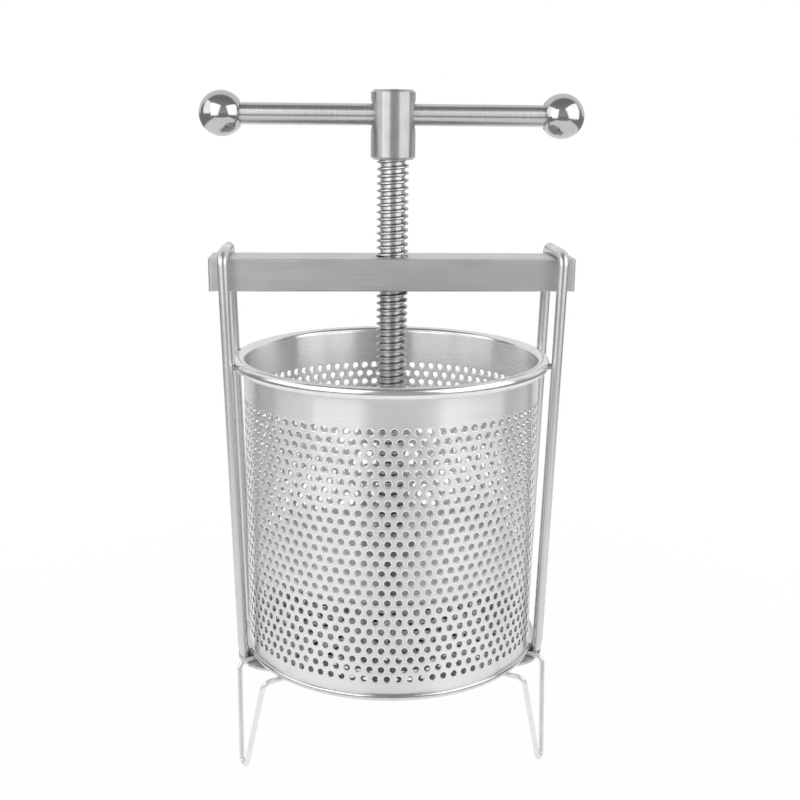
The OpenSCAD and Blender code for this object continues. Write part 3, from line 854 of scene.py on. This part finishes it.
add(tree, "ShaderNodeOutputWorld", {"Surface": background.outputs["Background"]})
print("world:", world.name)

# %% [markdown]
# ## The floor
#
# The floor is the front of the same paper. A matt white sheet would turn grey where the lamps are weak. To
# the camera and to reflections it is nearly plain white instead, and a small share of real matt paint near
# the press keeps the soft shadow under it. Away from the press that share fades out, so no edge shows.

# %% Floor sheet
SWEEP_LEFT, SWEEP_RIGHT, SWEEP_FRONT, SWEEP_BACK = -0.66, 0.72, -0.88, 2.5
floor_shape = bmesh.new()
middle = Vector(((SWEEP_LEFT + SWEEP_RIGHT) / 2, (SWEEP_FRONT + SWEEP_BACK) / 2, 0))
place = Matrix.Translation(middle) @ Matrix.Diagonal(
    (SWEEP_RIGHT - SWEEP_LEFT, SWEEP_BACK - SWEEP_FRONT, 1, 1)
)
bmesh.ops.create_grid(floor_shape, x_segments=1, y_segments=1, size=0.5, matrix=place)
floor_mesh = bpy.data.meshes.new("pale_floor")
floor_shape.to_mesh(floor_mesh)
floor_shape.free()
floor = bpy.data.objects.new("pale_floor", floor_mesh)
bpy.context.scene.collection.objects.link(floor)
print("floor:", round(SWEEP_RIGHT - SWEEP_LEFT, 2), "m wide and", SWEEP_BACK - SWEEP_FRONT, "m deep")

# %% Floor paint
FADE_STARTS, FADE_ENDS = 0.15, 0.45
WHITE_NEAR, WHITE_FAR = 0.97, 1.0
paint = empty_material("pale_floor_paint")
tree = paint.node_tree
path = add(tree, "ShaderNodeLightPath").outputs
shown = path["Is Camera Ray"]
for ray in ("Is Glossy Ray", "Is Transmission Ray"):
    shown = add(tree, "ShaderNodeMath", {0: shown, 1: path[ray]}, operation="MAXIMUM").outputs[0]
place = add(tree, "ShaderNodeTexCoord").outputs["Object"]
away = add(tree, "ShaderNodeVectorMath", {0: place}, operation="LENGTH").outputs["Value"]
fade = add(
    tree,
    "ShaderNodeMapRange",
    {
        "Value": away,
        "From Min": FADE_STARTS,
        "From Max": FADE_ENDS,
        "To Min": WHITE_NEAR,
        "To Max": WHITE_FAR,
    },
).outputs["Result"]
share = add(tree, "ShaderNodeMath", {0: shown, 1: fade}, operation="MULTIPLY").outputs[0]
matt = add(tree, "ShaderNodeBsdfDiffuse", {"Color": linear("#FAFAFA")}).outputs["BSDF"]
white = add(tree, "ShaderNodeEmission", {"Color": linear("#FFFFFF"), "Strength": 1.0}).outputs["Emission"]
mixed = add(tree, "ShaderNodeMixShader", {0: share, 1: matt, 2: white}).outputs["Shader"]
add(tree, "ShaderNodeOutputMaterial", {"Surface": mixed})
floor_mesh.materials.append(paint)
print("floor paint:", paint.name)

# %% [markdown]
# ## The softboxes
#
# Three large soft lamps stand round the press: two on the left and one on the right. Their reflections
# make the tall bright bands on the basket and the hub and the bright windows on the balls. Each is placed
# by the direction in which the press sees it, because a reflection tells a lamp's direction and not how
# far away it is.


# %% Softboxes
LAMP_TARGET = Vector((0, 0, 0.2))


def softbox(name, azimuth, elevation, distance, width, height, radiance):
    """A soft lamp seen from the press at an azimuth from the camera's side and an elevation, in degrees."""
    lamp = bpy.data.lights.new(name, "AREA")
    lamp.shape = "RECTANGLE"
    lamp.size, lamp.size_y = width, height
    lamp.energy = radiance * math.pi * width * height
    box = bpy.data.objects.new(name, lamp)
    flat = distance * math.cos(math.radians(elevation))
    box.location = LAMP_TARGET + Vector(
        (
            flat * math.sin(math.radians(azimuth)),
            -flat * math.cos(math.radians(azimuth)),
            distance * math.sin(math.radians(elevation)),
        )
    )
    box.rotation_euler = (LAMP_TARGET - box.location).to_track_quat("-Z", "Y").to_euler()
    box.visible_camera = False
    bpy.context.scene.collection.objects.link(box)
    print(name, [round(c, 2) for c in box.location], round(lamp.energy, 1), "W")


# Azimuth and elevation in degrees, then distance, width and height in metres, and last the radiance.
softbox("left_far_softbox", -78, 27, 1.2, 0.92, 0.9, 1.2)
softbox("left_near_softbox", -40, 31, 0.48, 0.3, 0.4, 1.55)
softbox("right_softbox", 59, 31, 0.54, 0.56, 0.48, 1.5)
